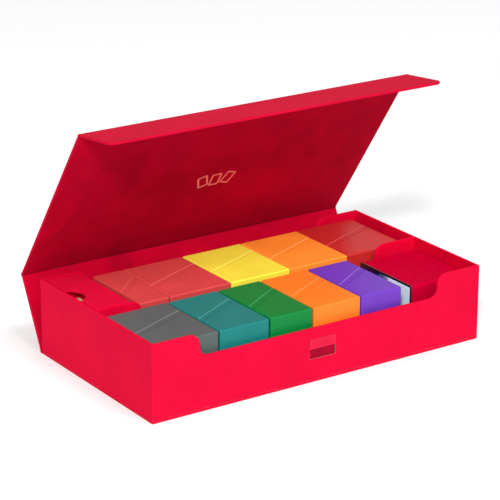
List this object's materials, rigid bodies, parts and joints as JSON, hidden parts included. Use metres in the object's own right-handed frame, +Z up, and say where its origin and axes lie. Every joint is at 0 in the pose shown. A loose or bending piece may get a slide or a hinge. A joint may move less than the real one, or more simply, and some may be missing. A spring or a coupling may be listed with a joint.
{
  "type": "card deck storage case",
  "caption": "Large wrapped-board card case with a magnetic wrap-over cover, a divided lined tray, two-part card boxes, an accessory box and a loose stack of sleeved cards.",
  "frame": {"origin": "centre of the underside of the tray's base panel, on the surface it rests on", "axes": "+X to the right along the long front, +Y from the front wall to the spine, +Z up"},
  "size_m": [0.416, 0.2658, 0.2733],
  "materials": {
    "red_leatherette": "fine grained leatherette",
    "red_microfibre": "short brushed microfibre",
    "greyboard": "plain greyboard",
    "magnet": "plated magnet or sheet steel",
    "label": "embossed leatherette",
    "recess": "dark red lining",
    "grey_box": "frosted polypropylene",
    "teal_box": "frosted polypropylene",
    "green_box": "frosted polypropylene",
    "orange_box": "frosted polypropylene",
    "purple_box": "frosted polypropylene",
    "small_red_box": "frosted polypropylene",
    "left_red_box": "frosted polypropylene",
    "yellow_box": "frosted polypropylene",
    "amber_box": "frosted polypropylene",
    "right_red_box": "frosted polypropylene",
    "deck": "sleeved cards",
    "red_sleeves": "cards in matte red sleeves",
    "picture_card": "printed card in a clear sleeve",
    "accessory_wrap": "fine grained leatherette over board",
    "dice": "cream moulded dice"
  },
  "bodies": {
    "tray": {"base_panel": "red_leatherette", "tray_bottom_board": "greyboard", "front_wall_board": "greyboard", "back_wall_board": "greyboard", "divider_board": "greyboard", "left_wall_board": "greyboard", "right_wall_board": "greyboard", "keeper_plates": "magnet", "tray_outer_skin": "red_leatherette", "tray_lining": "red_microfibre", "label_plate": "label", "label_recess_liner": "recess", "spine_hinge_strip": "red_leatherette"},
    "spine": {"spine_skin": "red_leatherette", "spine_board": "greyboard", "spine_lining": "red_microfibre", "lid_hinge_strip": "red_leatherette"},
    "lid": {"lid_skin": "red_leatherette", "lid_board": "greyboard", "lid_lining": "red_microfibre", "flap_hinge_strip": "red_leatherette"},
    "flap": {"flap_skin": "red_leatherette", "flap_board": "greyboard", "flap_lining": "red_microfibre", "flap_magnets": "magnet"},
    "grey_box": {"grey_box_base": "grey_box", "grey_box_lid": "grey_box", "grey_box_deck": "deck"},
    "teal_box": {"teal_box_base": "teal_box", "teal_box_lid": "teal_box", "teal_box_deck": "deck"},
    "green_box": {"green_box_base": "green_box", "green_box_lid": "green_box", "green_box_deck": "deck"},
    "orange_box": {"orange_box_base": "orange_box", "orange_box_lid": "orange_box", "orange_box_deck": "deck"},
    "purple_box": {"purple_box_base": "purple_box", "purple_box_lid": "purple_box", "purple_box_deck": "deck"},
    "small_red_box": {"small_red_box_base": "small_red_box", "small_red_box_lid": "small_red_box", "small_red_box_deck": "deck"},
    "left_red_box": {"left_red_box_base": "left_red_box", "left_red_box_lid": "left_red_box", "left_red_box_deck": "deck"},
    "yellow_box": {"yellow_box_base": "yellow_box", "yellow_box_lid": "yellow_box", "yellow_box_deck": "deck"},
    "amber_box": {"amber_box_base": "amber_box", "amber_box_lid": "amber_box", "amber_box_deck": "deck"},
    "right_red_box": {"right_red_box_base": "right_red_box", "right_red_box_lid": "right_red_box", "right_red_box_deck": "deck"},
    "accessory_box": {"accessory_box_body": "accessory_wrap", "dice": "dice"},
    "accessory_lid": {"accessory_box_lid": "accessory_wrap"},
    "card_stack": {"sleeved_cards": "red_sleeves", "art_card": "picture_card"}
  },
  "joints": [
    {"name": "spine_hinge", "type": "hinge", "parent": "tray", "child": "spine", "pos_m": [0, 0.1139, 0.0015], "axis": [-1, 0, 0], "range_deg": [-26.8, 63.2]},
    {"name": "lid_hinge", "type": "hinge", "parent": "spine", "child": "lid", "pos_m": [0, 0.15241, 0.07773], "axis": [-1, 0, 0], "range_deg": [-28.7, 61.3]},
    {"name": "flap_hinge", "type": "hinge", "parent": "lid", "child": "flap", "pos_m": [0, 0.02338, 0.26546], "axis": [-1, 0, 0], "range_deg": [-40.3, 49.7]},
    {"name": "grey_box_lift", "type": "slide", "parent": "tray", "child": "grey_box", "axis": [0, 0, 1], "range_m": [0, 0.09]},
    {"name": "teal_box_lift", "type": "slide", "parent": "tray", "child": "teal_box", "axis": [0, 0, 1], "range_m": [0, 0.09]},
    {"name": "green_box_lift", "type": "slide", "parent": "tray", "child": "green_box", "axis": [0, 0, 1], "range_m": [0, 0.09]},
    {"name": "orange_box_lift", "type": "slide", "parent": "tray", "child": "orange_box", "axis": [0, 0, 1], "range_m": [0, 0.09]},
    {"name": "purple_box_lift", "type": "slide", "parent": "tray", "child": "purple_box", "axis": [0, 0, 1], "range_m": [0, 0.09]},
    {"name": "small_red_box_lift", "type": "slide", "parent": "tray", "child": "small_red_box", "axis": [0, 0, 1], "range_m": [0, 0.055]},
    {"name": "left_red_box_lift", "type": "slide", "parent": "tray", "child": "left_red_box", "axis": [0, 0, 1], "range_m": [0, 0.055]},
    {"name": "yellow_box_lift", "type": "slide", "parent": "tray", "child": "yellow_box", "axis": [0, 0, 1], "range_m": [0, 0.055]},
    {"name": "amber_box_lift", "type": "slide", "parent": "tray", "child": "amber_box", "axis": [0, 0, 1], "range_m": [0, 0.055]},
    {"name": "right_red_box_lift", "type": "slide", "parent": "tray", "child": "right_red_box", "axis": [0, 0, 1], "range_m": [0, 0.055]},
    {"name": "accessory_box_lift", "type": "slide", "parent": "tray", "child": "accessory_box", "axis": [0, 0, 1], "range_m": [0, 0.05]},
    {"name": "accessory_lid_hinge", "type": "hinge", "parent": "accessory_box", "child": "accessory_lid", "pos_m": [-0.1595, 0.05775, 0.081], "axis": [0, 1, 0], "range_deg": [0, 100]},
    {"name": "card_stack_lift", "type": "slide", "parent": "tray", "child": "card_stack", "axis": [0, 0, 1], "range_m": [0, 0.09]}
  ]
}
